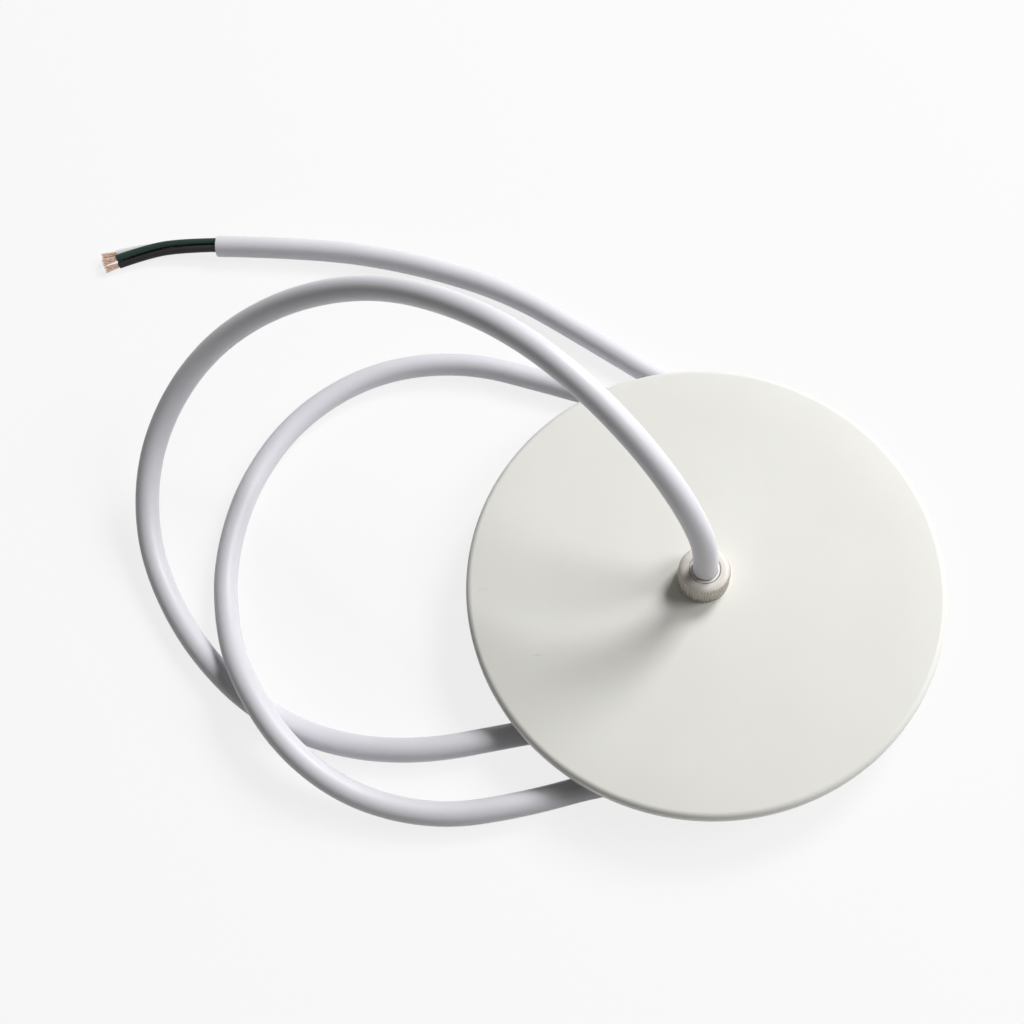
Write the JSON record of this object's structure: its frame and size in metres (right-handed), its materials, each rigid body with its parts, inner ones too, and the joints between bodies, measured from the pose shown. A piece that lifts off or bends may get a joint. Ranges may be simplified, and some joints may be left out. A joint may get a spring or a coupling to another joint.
{
  "type": "ceiling canopy",
  "caption": "Flat round white ceiling canopy with a knurled cord grip, a mounting bar behind it and a loose white cord with stripped leads.",
  "frame": {"origin": "centre of the mounting bar's back face, where it sits on the ears of the ceiling box", "axes": "+Z out of the canopy's face into the room, X along the mounting bar"},
  "size_m": [0.2306, 0.1761, 0.0748],
  "materials": {
    "plate_paint": "satin white powder coat",
    "zinc_steel": "zinc plated",
    "spring_steel": "plated spring steel",
    "ground_green": "green dyed zinc",
    "collet_nylon": "natural nylon",
    "cap_plastic": "warm white moulded plastic",
    "cord_jacket": "satin white flexible vinyl",
    "insulation_black": "vinyl insulation",
    "insulation_white": "vinyl insulation",
    "insulation_green": "vinyl insulation",
    "copper": "bare stranded copper"
  },
  "bodies": {
    "base": {"canopy_plate": "plate_paint", "mounting_bar": "zinc_steel", "threaded_nipple": "zinc_steel", "lock_washer": "spring_steel", "lock_nut": "zinc_steel", "ground_screw": "ground_green", "cord": "cord_jacket", "lamp_lead_black": "insulation_black", "lamp_copper_black": "copper", "lamp_lead_white": "insulation_white", "lamp_copper_white": "copper", "lamp_lead_green": "insulation_green", "lamp_copper_green": "copper", "house_lead_black": "insulation_black", "house_copper_black": "copper", "house_lead_white": "insulation_white", "house_copper_white": "copper", "house_lead_green": "insulation_green", "house_copper_green": "copper"},
    "collet": {"grip_collet": "collet_nylon"},
    "cap": {"grip_cap": "cap_plastic"}
  },
  "joints": [
    {"name": "collet_slide", "type": "slide", "parent": "base", "child": "collet", "axis": [0, 0, 1], "range_m": [0, 0.003]},
    {"name": "cap_turn", "type": "hinge", "parent": "collet", "child": "cap", "pos_m": [0, 0, 0.0062], "axis": [0, 0, 1], "range_deg": [0, 1080]}
  ],
  "couplings": [
    {"joint": "cap_turn", "follows": "collet_slide", "rad_per_m": 6283.2}
  ]
}
